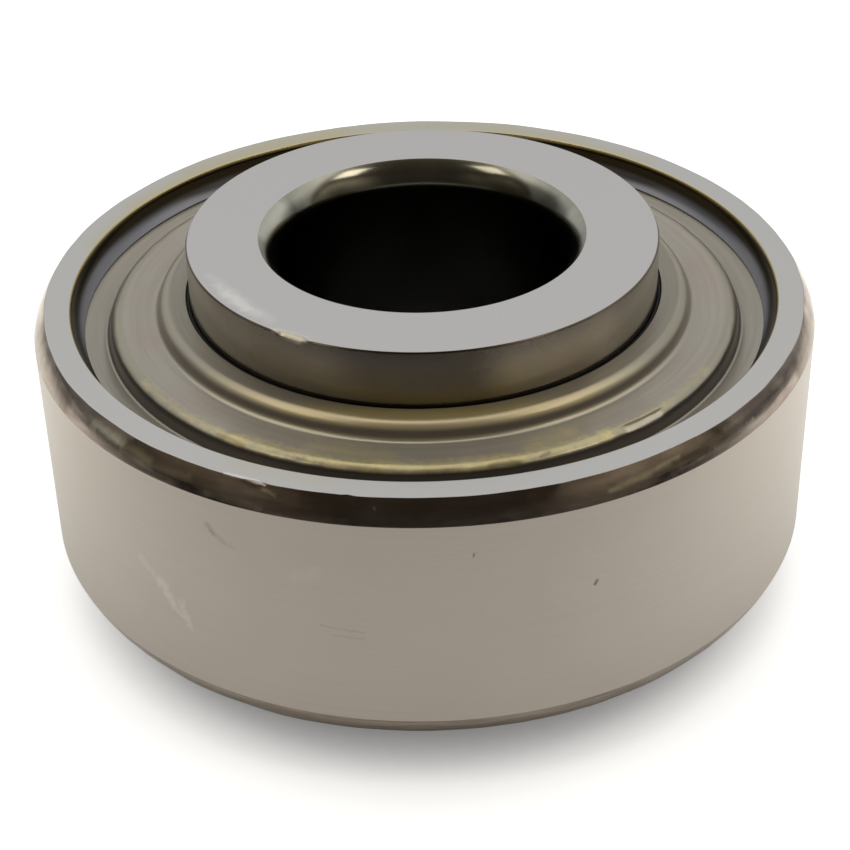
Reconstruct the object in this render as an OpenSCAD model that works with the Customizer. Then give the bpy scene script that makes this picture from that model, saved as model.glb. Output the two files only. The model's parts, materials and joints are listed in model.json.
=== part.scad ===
// Insert ball bearing with a wide inner ring, a cylindrical outer ring and a three-piece seal on each side.
// The origin is the bearing's centre, +Z runs along its axis, and all sizes are in millimetres.

/* [Rings] */
// Bore diameter of the inner ring
bore_d = 15; // [14:0.5:20]
// Thickness of the inner ring from its bore to the bottom of its raceway
inner_race_wall = 3.36; // [3:0.01:5]
// Height of the inner ring's shoulders above the bottom of its raceway
inner_shoulder_height = 1.14; // [0.9:0.01:1.4]
// Thickness of the outer ring at the bottom of its raceway
outer_race_wall = 2.36; // [2:0.01:4]
// Height of the outer ring's shoulders above the bottom of its raceway
outer_shoulder_height = 1.34; // [1:0.01:1.6]
// How far the inner ring stands out past the outer ring's faces
inner_ring_projection = 2.9; // [1:0.1:6]

/* [Corners] */
// Radial size of the outer ring's rounded corners
outer_corner_radial = 0.63; // [0.3:0.01:0.9]
// Axial size of the outer ring's rounded corners
outer_corner_axial = 1.17; // [0.9:0.01:2]
// Radial size of the bore's rounded corners
bore_corner_radial = 0.83; // [0.3:0.01:1.2]
// Axial size of the bore's rounded corners
bore_corner_axial = 1.6; // [1.2:0.1:3]
// Size of the inner ring's outer edge bevels
inner_ring_bevel = 0.1; // [0.05:0.01:0.3]

/* [Balls and raceways] */
// Number of balls
ball_count = 8; // [6, 7, 8]
// Ball diameter
ball_d = 6.75; // [6:0.05:7.5]
// Radius of a raceway groove for each millimetre of ball diameter
groove_ratio = 0.52; // [0.51:0.005:0.53]
// Gap between a ball and each raceway
race_play = 0.015; // [0.01:0.005:0.03]

/* [Cage] */
// Thickness of the cage's sheet steel
cage_sheet = 0.7; // [0.4:0.05:0.9]
// Gap between a ball and its cage pocket
pocket_play = 0.1; // [0.05:0.01:0.15]
// Gap between the cage and the inner ring
cage_inner_gap = 0.75; // [0.4:0.05:1.2]
// Gap between the cage and the outer ring's shoulders
cage_outer_gap = 0.55; // [0.4:0.05:1.2]
// Diameter of a cage rivet
rivet_d = 1; // [0.8:0.05:1.1]
// Diameter of a rivet head
rivet_head_d = 1.6; // [1.4:0.05:1.7]
// Height of a rivet head
rivet_head_h = 0.4; // [0.3:0.05:0.6]

/* [Seal seat in the outer ring] */
// Radial width of the outer ring's face, its rounded corner included
face_w = 1.95; // [1.6:0.05:2.6]
// Depth of the straight wall at the seat's mouth
mouth_depth = 0.3; // [0.2:0.05:0.4]
// How far the tapered lead-in narrows the mouth, measured on the radius
lead_in = 0.6; // [0.4:0.05:0.8]
// Height of the lip that holds the seal, between the lead-in and the groove
lip_land = 0.08; // [0.04:0.01:0.15]
// How far the seal's rim reaches out under the lip
rim_catch = 0.55; // [0.3:0.05:0.8]

/* [Seals] */
// Thickness of the outer steel cap
cap_sheet = 0.35; // [0.25:0.05:0.5]
// Thickness of the rubber washer
rubber_sheet = 0.3; // [0.2:0.05:0.5]
// Thickness of the inner steel washer
backing_sheet = 0.3; // [0.2:0.05:0.5]
// Gap between the cage and the inner steel washer
cage_seal_gap = 0.8; // [0.3:0.05:1]
// Gap between the cap's bore and the inner ring, which the rubber lip fills
cap_bore_gap = 0.3; // [0.25:0.05:0.6]
// Width of the cap's inner flange, which is level with the outer ring's face
flange_w = 1.4; // [1.2:0.05:1.8]
// Drop from the cap's flange to its flat band
inner_step = 0.825; // [0.7:0.005:1.2]
// Drop from the cap's flat band to the bottom of its trough
outer_step = 0.935; // [0.8:0.005:1.2]
// Width of the cap's trough, from its foot to the lip
trough_w = 1.15; // [0.9:0.05:1.4]
// Rise from the bottom of the trough to the seal's rim
trough_rise = 0.38; // [0.2:0.02:0.5]
// Inside radius of the cap's bends
cap_bend = 0.15; // [0.1:0.01:0.2]
// Gap between the rubber lip and the inner ring
lip_play = 0.03; // [0.01:0.01:0.08]
// Distance of the rubber lip's crest under the ring's face
lip_crest_depth = 0.08; // [0.02:0.01:0.15]
// Gap between a seal's rim and the wall of its groove
rim_play = 0.02; // [0.01:0.01:0.05]

/* [Hidden] */

$fn = 96;
bend_steps = 5;
overcut = 1;

// Radii, stacked outwards from the bore through the balls
bore_r = bore_d / 2;
ball_r = ball_d / 2;
inner_race_r = bore_r + inner_race_wall;
inner_ring_r = inner_race_r + inner_shoulder_height;
pitch_r = inner_race_r + race_play + ball_r;
outer_race_r = pitch_r + ball_r + race_play;
shoulder_r = outer_race_r - outer_shoulder_height;
outer_ring_r = outer_race_r + outer_race_wall;
groove_r = groove_ratio * ball_d;

// The cage's ribbon and its ball pockets
ball_step = 360 / ball_count;
pocket_r = ball_r + pocket_play;
pocket_top = pocket_r + cage_sheet;
cage_inner_r = inner_ring_r + cage_inner_gap;
cage_outer_r = shoulder_r - cage_outer_gap;

// Heights of the seal's layers, stacked from the cage out to the ring's face and on to the inner ring's end
backing_z = pocket_top + cage_seal_gap + backing_sheet;
rubber_z = backing_z + rubber_sheet;
flat_z = rubber_z + cap_sheet;
face_z = flat_z + inner_step;
end_z = face_z + inner_ring_projection;
trough_z = flat_z - outer_step;
rim_z = trough_z + trough_rise;

// Radii of the seal's seat, measured inwards from the outer ring's outside
mouth_r = outer_ring_r - face_w;
lip_r = mouth_r - lead_in;
rim_groove_r = lip_r + rim_catch;
seal_rim_r = rim_groove_r - rim_play;

// The seal's rim rests on a seat that falls away inwards, clear of the trough above it
rim_flat_inset = 0.1;
seat_inset = 0.05;
seat_relief = 0.25;
rim_flat_r = lip_r - rim_flat_inset;
seat_r = lip_r + seat_inset;
seat_z = rim_z - cap_sheet - backing_sheet;
seat_low_z = trough_z - cap_sheet - backing_sheet - seat_relief;

// The cap's inner step starts from the inner ring and its outer step from the lip; their walls lean a little
inner_step_lean = 0.1;
outer_step_lean = 0.35;
cap_bore_r = inner_ring_r + cap_bore_gap;
inner_step_r = cap_bore_r + flange_w;
outer_step_r = lip_r - trough_w;
flat_edge_r = outer_step_r - outer_step_lean;

// The bends' radii are those of the top surface, so they leave room for the sheets nested below
backing_bend = 0.03;
shoulder_bend = cap_bend + cap_sheet;
rim_bend = cap_sheet + backing_sheet + backing_bend;

// Room between the rubber and the sheet around it, and the rubber lip's slant
rubber_play = 0.03;
rubber_edge_gap = 0.15;
lip_slant = 0.25;

function unit(v) = v / norm(v);
function turned(v, angle) = [v.x * cos(angle) - v.y * sin(angle), v.x * sin(angle) + v.y * cos(angle)];
function right_of(v) = [v.y, -v.x];
function arc_radius(rise, run) = (rise * rise + run * run) / (2 * rise);

// Points of the arc that rounds corner b of the line a, b, c, moved to the line's right by shift
function bend(a, b, c, radius, shift) =
    let (
        half_angle = acos(unit(a - b) * unit(c - b)) / 2,
        side = sign(cross(b - a, c - b)),
        start = unit(a - b) * radius / tan(half_angle),
        centre = unit(unit(a - b) + unit(c - b)) * radius / sin(half_angle),
        turn = side * (180 - 2 * half_angle)
    )
    [for (step = [0 : bend_steps])
        b + centre + turned(start - centre, turn * step / bend_steps) * (radius + side * shift) / radius];

// A line with rounded corners, moved to its right by shift
function bent_line(points, radii, shift) =
    let (last = len(points) - 1)
    concat(
        [points[0] + right_of(unit(points[1] - points[0])) * shift],
        [for (i = [1 : last - 1]) each bend(points[i - 1], points[i], points[i + 1], radii[i - 1], shift)],
        [points[last] + right_of(unit(points[last] - points[last - 1])) * shift]
    );

function reversed(list) = [for (i = [len(list) - 1 : -1 : 0]) list[i]];

// Section of a pressed sheet: the points run outwards, and the sheet lies from top to bottom below them
module pressed_section(points, radii, top, bottom) {
    polygon(concat(bent_line(points, radii, top), reversed(bent_line(points, radii, bottom))));
}

module tube(outer_r, inner_r, height) {
    difference() {
        cylinder(r = outer_r, h = height);
        translate([0, 0, -overcut]) cylinder(r = inner_r, h = height + 2 * overcut);
    }
}

module on_both_sides() {
    for (lower = [0, 1]) mirror([0, lower]) children();
}

module lower_side() {
    mirror([0, 0, 1]) children();
}

module round_the_pitch_circle(first_angle) {
    for (i = [0 : ball_count - 1]) rotate(first_angle + i * ball_step) translate([pitch_r, 0, 0]) children();
}

// What a rounded corner takes off, for a wall at x = 0 with its material at negative x and its face at y = 0
module corner_waste(radial, axial) {
    radius = arc_radius(radial, axial);
    difference() {
        translate([-radial, -axial]) square([radial + overcut, axial + overcut]);
        translate([-radius, -axial]) circle(r = radius);
    }
}

module seal_seat_waste() {
    polygon([
        [shoulder_r - overcut, seat_low_z],
        [shoulder_r, seat_low_z],
        [seat_r, seat_z],
        [rim_groove_r, seat_z],
        [rim_groove_r, rim_z],
        [lip_r, rim_z],
        [lip_r, rim_z + lip_land],
        [mouth_r, face_z - mouth_depth],
        [mouth_r, face_z + overcut],
        [shoulder_r - overcut, face_z + overcut]
    ]);
}

module outer_ring() {
    color("silver") rotate_extrude() difference() {
        translate([shoulder_r, -face_z]) square([outer_ring_r - shoulder_r, 2 * face_z]);
        translate([outer_race_r - groove_r, 0]) circle(r = groove_r);
        on_both_sides() {
            translate([outer_ring_r, face_z]) corner_waste(outer_corner_radial, outer_corner_axial);
            seal_seat_waste();
        }
    }
}

module inner_ring() {
    color("silver") rotate_extrude() difference() {
        translate([bore_r, -end_z]) square([inner_ring_r - bore_r, 2 * end_z]);
        translate([inner_race_r + groove_r, 0]) circle(r = groove_r);
        on_both_sides() {
            translate([bore_r, end_z]) mirror([1, 0]) corner_waste(bore_corner_radial, bore_corner_axial);
            translate([inner_ring_r, end_z]) rotate(45)
                square(inner_ring_bevel * sqrt(2), center = true);
        }
    }
}

module ball(number) {
    color("gainsboro") rotate((number - 1) * ball_step) translate([pitch_r, 0, 0]) sphere(r = ball_r);
}

// One half of the ribbon cage: flat lands that meet the other half, and a round pocket over each ball
module cage_half() {
    color("tan") difference() {
        intersection() {
            tube(cage_outer_r, cage_inner_r, pocket_top);
            union() {
                cylinder(r = cage_outer_r + overcut, h = cage_sheet);
                round_the_pitch_circle(0) sphere(r = pocket_top);
            }
        }
        round_the_pitch_circle(0) sphere(r = pocket_r);
        round_the_pitch_circle(ball_step / 2) translate([0, 0, -overcut])
            cylinder(d = rivet_d, h = cage_sheet + 2 * overcut);
    }
}

module rivet_head() {
    dome_r = arc_radius(rivet_head_h, rivet_head_d / 2);
    translate([0, 0, cage_sheet]) intersection() {
        translate([0, 0, rivet_head_h - dome_r]) sphere(r = dome_r);
        cylinder(r = rivet_head_d, h = rivet_head_h + overcut);
    }
}

module cage_rivets() {
    color("darkgoldenrod") round_the_pitch_circle(ball_step / 2) {
        translate([0, 0, -cage_sheet]) cylinder(d = rivet_d, h = 2 * cage_sheet);
        rivet_head();
        lower_side() rivet_head();
    }
}

// The visible stepped cap, pressed from sheet steel, with its rim in the outer ring's groove
module seal_cap() {
    color("darkkhaki") rotate_extrude() pressed_section([
        [cap_bore_r, face_z],
        [inner_step_r - inner_step_lean, face_z],
        [inner_step_r, flat_z],
        [flat_edge_r, flat_z],
        [outer_step_r, trough_z],
        [rim_flat_r, rim_z],
        [seal_rim_r, rim_z]
    ], [shoulder_bend, cap_bend, shoulder_bend, cap_bend, rim_bend], 0, cap_sheet);
}

// Rubber washer held under the cap, with its lip rising between the cap's bore and the inner ring
module rubber_lip() {
    tip_r = inner_ring_r + lip_play;
    crest_r = cap_bore_r - rubber_play;
    neck_r = inner_step_r - inner_step_lean - cap_sheet - rubber_edge_gap;
    rim_r = flat_edge_r - cap_sheet - rubber_edge_gap;
    color("dimgray") rotate_extrude() polygon([
        [tip_r, rubber_z],
        [tip_r + lip_slant, backing_z],
        [rim_r, backing_z],
        [rim_r, rubber_z],
        [neck_r, rubber_z],
        [neck_r, face_z - cap_sheet],
        [crest_r, face_z - cap_sheet],
        [crest_r, face_z - lip_crest_depth],
        [tip_r, face_z - lip_crest_depth]
    ]);
}

// Inner washer that clamps the rubber from below and nests under the cap's trough and rim
module backing_washer() {
    top_z = backing_z + cap_sheet;
    bend_r = flat_edge_r + outer_step_lean * (flat_z - top_z) / (flat_z - trough_z);
    color("lightslategray") rotate_extrude() pressed_section([
        [cap_bore_r, top_z],
        [bend_r, top_z],
        [outer_step_r, trough_z],
        [rim_flat_r, rim_z],
        [seal_rim_r, rim_z]
    ], [rim_bend, cap_bend, rim_bend], cap_sheet, cap_sheet + backing_sheet);
}

outer_ring();
inner_ring();
cage_half();  // cage_upper_half
lower_side() cage_half();  // cage_lower_half
cage_rivets();
for (number = [1 : ball_count]) ball(number);
seal_cap();  // upper_seal_cap
rubber_lip();  // upper_rubber_lip
backing_washer();  // upper_backing_washer
lower_side() seal_cap();  // lower_seal_cap
lower_side() rubber_lip();  // lower_rubber_lip
lower_side() backing_washer();  // lower_backing_washer
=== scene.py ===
import json
import math

import bmesh
import bpy
from mathutils import Matrix, Vector, noise


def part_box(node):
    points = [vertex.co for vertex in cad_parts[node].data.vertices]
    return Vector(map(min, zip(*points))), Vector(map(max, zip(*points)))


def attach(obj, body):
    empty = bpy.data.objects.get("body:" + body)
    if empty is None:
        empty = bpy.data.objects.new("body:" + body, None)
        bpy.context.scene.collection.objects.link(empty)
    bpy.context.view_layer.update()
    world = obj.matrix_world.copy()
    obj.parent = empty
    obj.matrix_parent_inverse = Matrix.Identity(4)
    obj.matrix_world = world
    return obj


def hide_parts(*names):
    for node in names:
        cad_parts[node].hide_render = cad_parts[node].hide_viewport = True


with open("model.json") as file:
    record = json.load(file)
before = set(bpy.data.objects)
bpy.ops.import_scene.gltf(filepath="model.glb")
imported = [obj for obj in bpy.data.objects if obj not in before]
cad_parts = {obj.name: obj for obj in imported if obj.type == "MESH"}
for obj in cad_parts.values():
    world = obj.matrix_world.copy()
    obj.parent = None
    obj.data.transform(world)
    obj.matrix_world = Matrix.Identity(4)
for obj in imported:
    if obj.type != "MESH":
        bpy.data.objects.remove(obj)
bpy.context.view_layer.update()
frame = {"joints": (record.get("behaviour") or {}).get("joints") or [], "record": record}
print("frame loaded")

mm = 0.001  # every size below is in millimetres unless its name says otherwise
scene = bpy.context.scene
scene.view_settings.view_transform = "Standard"

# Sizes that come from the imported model
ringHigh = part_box("outer_ring")[1] / mm
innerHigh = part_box("inner_ring")[1] / mm
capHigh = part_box("upper_seal_cap")[1] / mm
mounts = {mount["name"]: mount for mount in frame["record"]["mounts"]}
rollJoints = [joint for joint in frame["joints"] if joint["child"].startswith("ball_")]

outerRadius = ringHigh.y  # outside of the outer ring
faceHeight = ringHigh.z  # upper face of the outer ring
innerRadius = innerHigh.y  # outside of the inner ring
endHeight = innerHigh.z  # upper end of the inner ring
boreRadius = mounts["bore"]["dims"]["r_mm"]
boreWall = mounts["bore"]["dims"]["length_mm"]
seatWall = mounts["outer_seat"]["dims"]["length_mm"]
sealRadius = capHigh.y  # rim of the seals
pitchRadius = rollJoints[0]["pos_m"][0] / mm
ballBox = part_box("ball_1")
ballRadius = (ballBox[1].y - ballBox[0].y) / 2 / mm


# Node helpers

def addNode(tree, kind, settings=None, **values):
    node = tree.nodes.new(kind)
    for name, value in (settings or {}).items():
        setattr(node, name, value)
    for name, value in values.items():
        plug(tree, node.inputs[name.replace("_", " ")], value)
    return node


def plug(tree, socket, value):
    if isinstance(value, bpy.types.NodeSocket):
        tree.links.new(value, socket)
    else:
        socket.default_value = value


def calc(tree, operation, *values, clamp=False):
    node = addNode(tree, "ShaderNodeMath", {"operation": operation, "use_clamp": clamp})
    for socket, value in zip(node.inputs, values):
        plug(tree, socket, value)
    return node.outputs[0]


def vectorCalc(tree, operation, *values):
    node = addNode(tree, "ShaderNodeVectorMath", {"operation": operation})
    for socket, value in zip(node.inputs, values):
        plug(tree, socket, value)
    return node.outputs["Value" if operation in ("LENGTH", "DISTANCE", "DOT_PRODUCT") else "Vector"]


def fade(tree, value, start, end, low=0.0, high=1.0):  # smooth step from low at start to high at end
    node = addNode(tree, "ShaderNodeMapRange", {"interpolation_type": "SMOOTHSTEP"}, Value=value,
                   From_Min=start, From_Max=end, To_Min=low, To_Max=high)
    return node.outputs["Result"]


def band(tree, value, start, end, soft):  # 1 between start and end, 0 outside
    rise = fade(tree, value, start - soft, start + soft)
    fall = fade(tree, value, end - soft, end + soft, 1.0, 0.0)
    return calc(tree, "MULTIPLY", rise, fall)


def mixed(tree, factor, first, second):
    node = addNode(tree, "ShaderNodeMix", {"data_type": "RGBA"})
    plug(tree, node.inputs["Factor"], factor)
    for socket, colour in zip([s for s in node.inputs if s.type == "RGBA"], (first, second)):
        plug(tree, socket, colour if isinstance(colour, bpy.types.NodeSocket) else (*colour, 1.0))
    return [s for s in node.outputs if s.type == "RGBA"][0]


def mixedValue(tree, factor, first, second):
    node = addNode(tree, "ShaderNodeMix", {"data_type": "FLOAT"})
    plug(tree, node.inputs["Factor"], factor)
    for socket, value in zip([s for s in node.inputs[1:] if s.type == "VALUE"], (first, second)):
        plug(tree, socket, value)
    return node.outputs["Result"]


def noiseValue(tree, vector, scale, detail=2.0, roughness=0.5):
    node = addNode(tree, "ShaderNodeTexNoise", Vector=vector, Scale=scale, Detail=detail, Roughness=roughness)
    return node.outputs["Fac"]


# Section helpers: a section is a closed list of (radius, height, fillet) in millimetres

def arc(centreR, centreZ, radius, startAngle, endAngle, steps):
    angles = [math.radians(startAngle + (endAngle - startAngle) * i / steps) for i in range(steps + 1)]
    return [(centreR + radius * math.cos(a), centreZ + radius * math.sin(a), 0.0) for a in angles]


def fillet(before, corner, after, radius, stepAngle, guard):
    toBefore = (Vector(before) - Vector(corner)).normalized()
    toAfter = (Vector(after) - Vector(corner)).normalized()
    halfAngle = toBefore.angle(toAfter) / 2
    reach = radius / math.tan(halfAngle)
    centre = Vector(corner) + (toBefore + toAfter).normalized() * radius / math.sin(halfAngle)
    first = Vector(corner) + toBefore * reach
    last = Vector(corner) + toAfter * reach
    startAngle = math.atan2(first.y - centre.y, first.x - centre.x)
    turn = math.atan2(last.y - centre.y, last.x - centre.x) - startAngle
    turn = (turn + math.pi) % (2 * math.pi) - math.pi
    steps = max(2, math.ceil(abs(math.degrees(turn)) / stepAngle))
    points = [centre + radius * Vector((math.cos(startAngle + turn * i / steps),
                                        math.sin(startAngle + turn * i / steps))) for i in range(steps + 1)]
    return [first + toBefore * guard] + points + [last + toAfter * guard]


def softened(corners, fineAngle=12, coarseAngle=30, smallRadius=0.05, guard=0.008):
    points = []
    for i, (r, z, radius) in enumerate(corners):
        if radius == 0:
            points.append(Vector((r, z)))
        else:
            before = corners[i - 1][:2]
            after = corners[(i + 1) % len(corners)][:2]
            stepAngle = coarseAngle if radius < smallRadius else fineAngle
            points += fillet(before, (r, z), after, radius, stepAngle, guard)
    return points


def subdivided(points, spacing, inZone):  # adds points where a straight edge in the zone is longer than spacing
    finer = []
    for a, b in zip(points, points[1:] + points[:1]):
        finer.append(a)
        if inZone((a + b) / 2):
            pieces = math.ceil((b - a).length / spacing)
            finer += [a.lerp(b, i / pieces) for i in range(1, pieces)]
    return finer


def mirrored(upper):  # the lower half of a section that repeats below its middle
    return [(r, -z, radius) for r, z, radius in reversed(upper)]


def shifted(path, shift):  # a bent path of (radius, height, bend) moved to its right
    points = [Vector(p[:2]) for p in path]
    sides = []
    for a, b in zip(points, points[1:]):
        along = (b - a).normalized()
        sides.append(Vector((along.y, -along.x)))
    moved = []
    for i, (r, z, bend) in enumerate(path):
        if i in (0, len(path) - 1):
            moved.append((*(points[i] + sides[min(i, len(sides) - 1)] * shift), bend))
            continue
        turn = sides[i - 1].x * sides[i].y - sides[i - 1].y * sides[i].x
        mitre = (sides[i - 1] + sides[i]) / (1 + sides[i - 1].dot(sides[i]))
        moved.append((*(points[i] + mitre * shift), bend + math.copysign(shift, turn)))
    return moved


def sheetSection(path, top, bottom, edgeRound):  # the loop round a pressed sheet between two depths under its path
    upper, lower = shifted(path, top), shifted(path, bottom)
    ends = [0, len(path) - 1]
    upper = [(r, z, edgeRound if i in ends else bend) for i, (r, z, bend) in enumerate(upper)]
    lower = [(r, z, edgeRound if i in ends else bend) for i, (r, z, bend) in enumerate(lower)]
    return upper + lower[::-1]


# Turned pieces: a Geometry Nodes tree sweeps a section round the axis

def turnedTree():
    tree = bpy.data.node_groups.new("turnedSection", "GeometryNodeTree")
    for name, kind in (("Section", "NodeSocketGeometry"), ("Segments", "NodeSocketInt"),
                       ("Path radius", "NodeSocketFloat"), ("Finish", "NodeSocketMaterial")):
        tree.interface.new_socket(name, in_out="INPUT", socket_type=kind)
    tree.interface.new_socket("Geometry", in_out="OUTPUT", socket_type="NodeSocketGeometry")
    sizes = tree.nodes.new("NodeGroupInput").outputs
    profile = addNode(tree, "GeometryNodeMeshToCurve", Mesh=sizes["Section"])
    circle = addNode(tree, "GeometryNodeCurvePrimitiveCircle", Resolution=sizes["Segments"],
                     Radius=sizes["Path radius"])
    upright = addNode(tree, "GeometryNodeSetCurveNormal", {"mode": "Z_UP"}, Curve=circle.outputs["Curve"])
    swept = addNode(tree, "GeometryNodeCurveToMesh", Curve=upright.outputs["Curve"],
                    Profile_Curve=profile.outputs["Curve"])
    smooth = addNode(tree, "GeometryNodeSetShadeSmooth", Geometry=swept.outputs["Mesh"])
    real = addNode(tree, "GeometryNodeRealizeInstances", Geometry=smooth.outputs["Geometry"])
    finish = addNode(tree, "GeometryNodeSetMaterial", Geometry=real.outputs["Geometry"],
                     Material=sizes["Finish"])
    tree.links.new(finish.outputs["Geometry"], tree.nodes.new("NodeGroupOutput").inputs["Geometry"])
    return tree


def appliedNodes(name, mesh, tree, values):  # runs a tree on a mesh and keeps its result as a plain mesh
    source = bpy.data.objects.new(name + "Source", mesh)
    scene.collection.objects.link(source)
    modifier = source.modifiers.new(name, "NODES")
    modifier.node_group = tree
    for item in tree.interface.items_tree:
        if item.in_out == "INPUT" and item.name in values:
            modifier[item.identifier] = values[item.name]
    evaluated = source.evaluated_get(bpy.context.evaluated_depsgraph_get())
    result = bpy.data.meshes.new_from_object(evaluated)
    bpy.data.objects.remove(source)
    result.name = name
    piece = bpy.data.objects.new(name, result)
    scene.collection.objects.link(piece)
    return piece


pathRadius = 10.0  # radius of the circle that carries a section while it is swept


def turnedPiece(name, corners, segments, material, spacing=0.2, inZone=lambda point: False):
    points = subdivided(softened(corners), spacing, inZone)
    area = sum(a.x * b.y - b.x * a.y for a, b in zip(points, points[1:] + points[:1]))
    if area > 0:
        points.reverse()  # the sweep turns a section over, so its points run clockwise
    mesh = bpy.data.meshes.new(name + "Section")
    loop = [(i, (i + 1) % len(points)) for i in range(len(points))]
    mesh.from_pydata([((p.x - pathRadius) * mm, -p.y * mm, 0) for p in points], loop, [])
    return appliedNodes(name, mesh, turnedNodes, {"Segments": segments, "Path radius": pathRadius * mm,
                                                  "Finish": material})


def polar(angle, radius, height):  # a point in metres from degrees and millimetres
    turn = math.radians(angle)
    return Vector((radius * math.cos(turn), radius * math.sin(turn), height)) * mm


def moveVertices(piece, mover):  # mover takes and returns a point in millimetres
    for vertex in piece.data.vertices:
        vertex.co = mover(vertex.co / mm) * mm


turnedNodes = turnedTree()


# Steel finishes

def surfaceFacts(tree):  # object coordinates in millimetres, radius, height off the middle, upward normal
    coordinate = addNode(tree, "ShaderNodeTexCoord")
    place = vectorCalc(tree, "SCALE", coordinate.outputs["Object"])
    place.node.inputs["Scale"].default_value = 1 / mm
    parts = addNode(tree, "ShaderNodeSeparateXYZ", Vector=place).outputs
    flat = addNode(tree, "ShaderNodeCombineXYZ", X=parts["X"], Y=parts["Y"], Z=0.0).outputs["Vector"]
    radius = vectorCalc(tree, "LENGTH", flat)
    height = calc(tree, "ABSOLUTE", parts["Z"])
    normal = addNode(tree, "ShaderNodeSeparateXYZ", Vector=coordinate.outputs["Normal"]).outputs
    return {"place": place, "flat": flat, "radius": radius, "height": height, "z": parts["Z"],
            "up": calc(tree, "ABSOLUTE", normal["Z"])}


def turningLines(tree, facts, along, across, detail=3.0):  # noise drawn out round the axis, fine across it
    level = calc(tree, "MULTIPLY", calc(tree, "ADD", facts["radius"], facts["z"]), across)
    drawn = vectorCalc(tree, "MULTIPLY", facts["flat"], (along, along, 0.0))
    parts = addNode(tree, "ShaderNodeSeparateXYZ", Vector=drawn).outputs
    vector = addNode(tree, "ShaderNodeCombineXYZ", X=parts["X"], Y=parts["Y"], Z=level).outputs["Vector"]
    return noiseValue(tree, vector, 1.0, detail, 0.6)


# Camera: the photograph's, fitted to the rings' traced edges

photoCamera = {
    "imageWidth": 850,  # pixels
    "focalLength": 2016.94,  # pixels
    "elevation": 33.3226,  # degrees above the rings' plane
    "roll": -1.3843,  # degrees
    "side": -0.0923,  # where the outer ring's upper centre lies from the lens axis, to the right
    "drop": -7.4672,  # and below it
    "distance": 104.0067,  # and in front of the lens
    "sensor": 36.0,
}


def makeCamera(v):
    data = bpy.data.cameras.new("photoCamera")
    data.sensor_width = v["sensor"]
    data.lens = v["focalLength"] / v["imageWidth"] * v["sensor"]
    data.clip_start = 0.001
    camera = bpy.data.objects.new("photoCamera", data)
    scene.collection.objects.link(camera)
    tilt = Matrix.Rotation(math.radians(90 - v["elevation"]), 3, "X")
    turn = tilt @ Matrix.Rotation(math.radians(v["roll"]), 3, "Z")
    target = Vector((0, 0, faceHeight)) * mm
    offset = turn @ (Vector((v["side"], -v["drop"], -v["distance"])) * mm)
    camera.matrix_world = Matrix.Translation(target - offset) @ turn.to_4x4()
    scene.camera = camera
    print("camera at", [round(c / mm, 2) for c in camera.location])


makeCamera(photoCamera)


# Strokes and spots on the steel: each is (start, end, width, strength), its ends (degrees, radius, height)

def distanceToLine(tree, place, start, end):
    offset = vectorCalc(tree, "SUBTRACT", place, tuple(start))
    line = end - start
    share = calc(tree, "DIVIDE", vectorCalc(tree, "DOT_PRODUCT", offset, tuple(line)), line.length_squared,
                 clamp=True)
    foot = addNode(tree, "ShaderNodeVectorMath", {"operation": "SCALE"}, Scale=share)
    foot.inputs[0].default_value = line
    return vectorCalc(tree, "DISTANCE", offset, foot.outputs["Vector"])


def markMask(tree, facts, marks, ragged):
    wobble = addNode(tree, "ShaderNodeTexNoise", Vector=facts["place"], Scale=2.5, Detail=3.0).outputs["Color"]
    centred = vectorCalc(tree, "SUBTRACT", wobble, (0.5, 0.5, 0.5))
    pushed = vectorCalc(tree, "MULTIPLY_ADD", centred, (ragged, ragged, ragged), facts["place"])
    total = 0.0
    for start, end, width, strength in marks:
        distance = distanceToLine(tree, pushed, polar(*start) / mm, polar(*end) / mm)
        total = calc(tree, "MAXIMUM", total, fade(tree, distance, 0.0, width * 1.2, strength, 0.0))
    return total


def newFinish(name):
    material = bpy.data.materials.new(name)
    material.use_nodes = True
    tree = material.node_tree
    return material, tree, tree.nodes["Principled BSDF"], surfaceFacts(tree)


def finishSurface(tree, shader, colour, roughness, depth):  # depth in millimetres
    plug(tree, shader.inputs["Base Color"], colour)
    plug(tree, shader.inputs["Roughness"], roughness)
    bump = addNode(tree, "ShaderNodeBump", Height=calc(tree, "MULTIPLY", depth, mm), Strength=1.0, Distance=1.0)
    plug(tree, shader.inputs["Normal"], bump.outputs["Normal"])


# Outer ring

outerRing = {
    "segments": 540,
    "cornerReach": 0.63,  # radial size of the rounded corners
    "cornerStart": 18,  # angle in degrees at which they leave the outer wall
    "mouthRadius": 18.05,  # inner edge of the face
    "mouthDepth": 0.3,  # straight wall under that edge
    "lipRadius": 17.45,
    "leadInDepth": 1.3,
    "leadInStart": 8,  # angle in degrees at which the hollow lead-in leaves the straight wall
    "lipDepth": 1.38,
    "grooveRadius": 18.0,
    "seatDepth": 2.03,
    "seatRadius": 17.5,
    "shoulderRadius": 16.3,
    "shoulderDepth": 2.66,
    "raceCentre": 14.13,
    "raceRadius": 3.51,
    "edgeRound": 0.03,
    "edgeWander": 0.045,  # how far the face's outer edge wanders from a true circle
    "tint": (0.52, 0.465, 0.415),
    "tintLight": (0.565, 0.52, 0.47),
    "faceTint": (0.62, 0.615, 0.605),
    "strawTint": (0.62, 0.57, 0.40),
    "cornerTint": (0.33, 0.265, 0.22),
    "cornerTintLight": (0.48, 0.41, 0.35),
    # colour of the painted highlights on the rounded corner
    "oliveTint": (0.86, 0.80, 0.60),
    "grazingTint": (0.93, 0.92, 0.88),  # what the steel reflects at its outline
    # colour of the painted highlight on the chips of the face's edge
    "chipTint": (0.90, 0.88, 0.88),
    "leadInTint": (0.19, 0.19, 0.205),
    # painted shade under the face's inner edge
    "mouthTint": (0.06, 0.047, 0.028),
    "mouthEdge": 0.1,  # rounding between the face and that wall
    "mouthEdgeTint": (0.52, 0.42, 0.20),
    "mouthDark": (0.62, 0.98),  # depths between which the painted shade on the lead-in's upper part fades
}


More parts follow.
